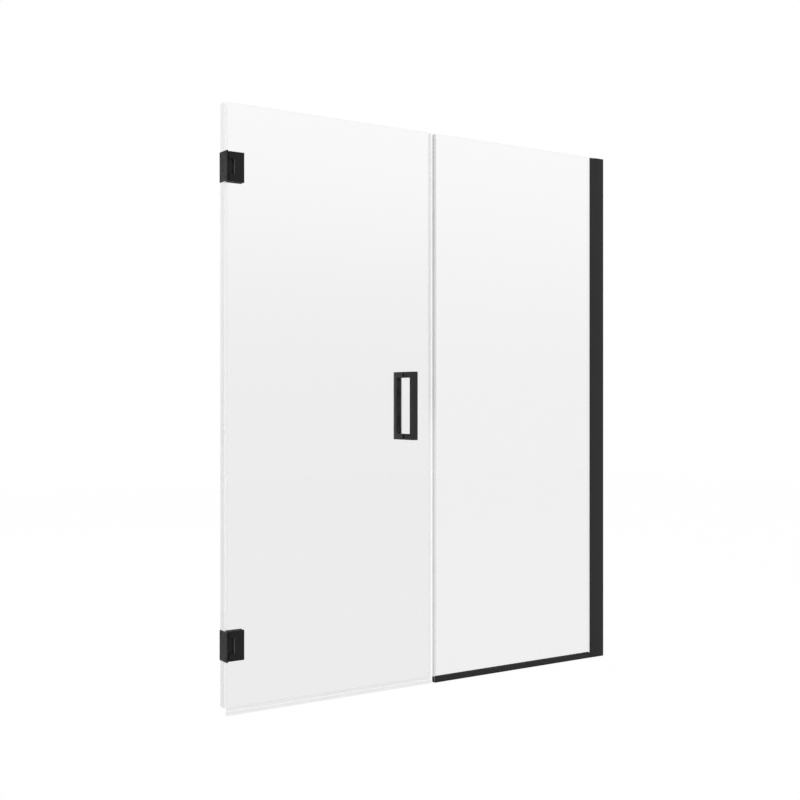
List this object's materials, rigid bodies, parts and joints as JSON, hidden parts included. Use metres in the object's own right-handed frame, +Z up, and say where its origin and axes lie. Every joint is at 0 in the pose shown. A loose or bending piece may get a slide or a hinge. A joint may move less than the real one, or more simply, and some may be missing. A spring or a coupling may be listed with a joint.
{
  "type": "hinged shower door",
  "caption": "Frameless glass shower door on black wall hinges that swings in and out beside a fixed glass panel in black channels, with back-to-back square pulls and clear edge seals.",
  "frame": {"origin": "on the curb, half way between the two walls, in the middle plane of the glass", "axes": "+X from the hinge wall to the far wall, +Y from the outside of the shower to the inside, +Z up"},
  "size_m": [1.524, 0.118, 1.829],
  "materials": {
    "black_metal": "matte black coating",
    "glass": "clear polished",
    "clear_vinyl": "clear soft vinyl",
    "steel": "plain",
    "nylon": "moulded",
    "dark_gasket": "matte"
  },
  "bodies": {
    "fixed_side": {"lower_hinge_wall_plate": "black_metal", "lower_hinge_pivot_block": "black_metal", "lower_hinge_block_screws": "black_metal", "lower_hinge_bushings": "nylon", "lower_hinge_detent_plunger": "steel", "lower_hinge_detent_spring": "steel", "lower_hinge_detent_set_screw": "steel", "upper_hinge_wall_plate": "black_metal", "upper_hinge_pivot_block": "black_metal", "upper_hinge_block_screws": "black_metal", "upper_hinge_bushings": "nylon", "upper_hinge_detent_plunger": "steel", "upper_hinge_detent_spring": "steel", "upper_hinge_detent_set_screw": "steel", "fixed_glass": "glass", "panel_edge_seal": "clear_vinyl", "bottom_channel": "black_metal", "channel_strips": "dark_gasket", "setting_blocks": "dark_gasket", "wall_jamb": "black_metal", "expander_profile": "black_metal", "glazing_gaskets": "dark_gasket", "expander_screws": "black_metal", "jamb_top_cap": "black_metal"},
    "door": {"lower_hinge_pivot_pin": "steel", "lower_hinge_outer_clamp": "black_metal", "lower_hinge_inner_clamp": "black_metal", "lower_hinge_outer_gasket": "dark_gasket", "lower_hinge_inner_gasket": "dark_gasket", "lower_hinge_clamp_screws": "black_metal", "upper_hinge_pivot_pin": "steel", "upper_hinge_outer_clamp": "black_metal", "upper_hinge_inner_clamp": "black_metal", "upper_hinge_outer_gasket": "dark_gasket", "upper_hinge_inner_gasket": "dark_gasket", "upper_hinge_clamp_screws": "black_metal", "door_glass": "glass", "outer_handle": "black_metal", "inner_handle": "black_metal", "handle_studs": "steel", "handle_sleeves": "nylon", "handle_washers": "dark_gasket", "handle_set_screws": "steel", "hinge_side_seal": "clear_vinyl", "strike_seal": "clear_vinyl", "bottom_sweep": "clear_vinyl"}
  },
  "joints": [
    {"name": "door_swing", "type": "hinge", "parent": "fixed_side", "child": "door", "pos_m": [-0.74, 0, 0.922], "axis": [0, 0, -1], "range_deg": [-90, 90]}
  ]
}
